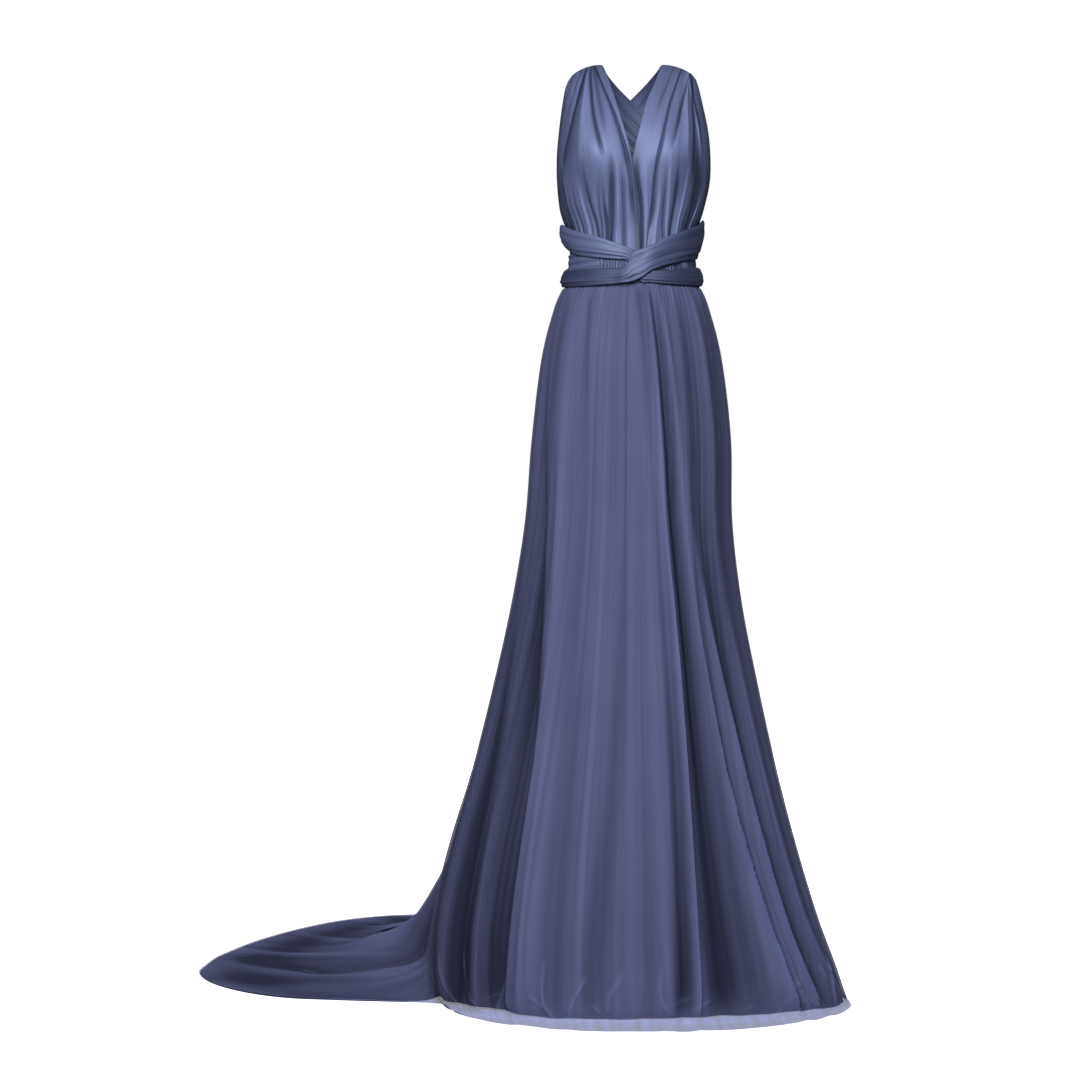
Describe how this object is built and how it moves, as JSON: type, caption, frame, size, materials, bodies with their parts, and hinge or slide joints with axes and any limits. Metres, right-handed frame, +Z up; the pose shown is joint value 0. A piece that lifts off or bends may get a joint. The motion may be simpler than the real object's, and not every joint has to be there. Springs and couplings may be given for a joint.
{
  "type": "multiway dress",
  "caption": "Floor-length sleeveless dress of two long gathered straps that cross at the back and twist round the waist, over a lining skirt and a sheer overskirt with a train.",
  "frame": {"origin": "midway between the two shoulder straps, where the wearer's shoulders hold the dress up", "axes": "+Z up, the front faces -Y, the train sweeps towards -X and +Y"},
  "size_m": [1.1074, 1.2339, 1.5429],
  "materials": {
    "jersey": "soft matte jersey",
    "tulle": "sheer fine net"
  },
  "bodies": {
    "root": {"lining_front": "jersey", "lining_back": "jersey", "overskirt_front": "tulle", "overskirt_back": "tulle", "waistband": "jersey", "wrap_upper_right": "jersey", "wrap_lower_left": "jersey", "wrap_upper_left": "jersey", "wrap_lower_right": "jersey", "back_knot": "jersey", "bodice_left": "jersey", "bodice_right": "jersey", "back_strap_left": "jersey", "back_strap_right": "jersey"}
  },
  "joints": []
}
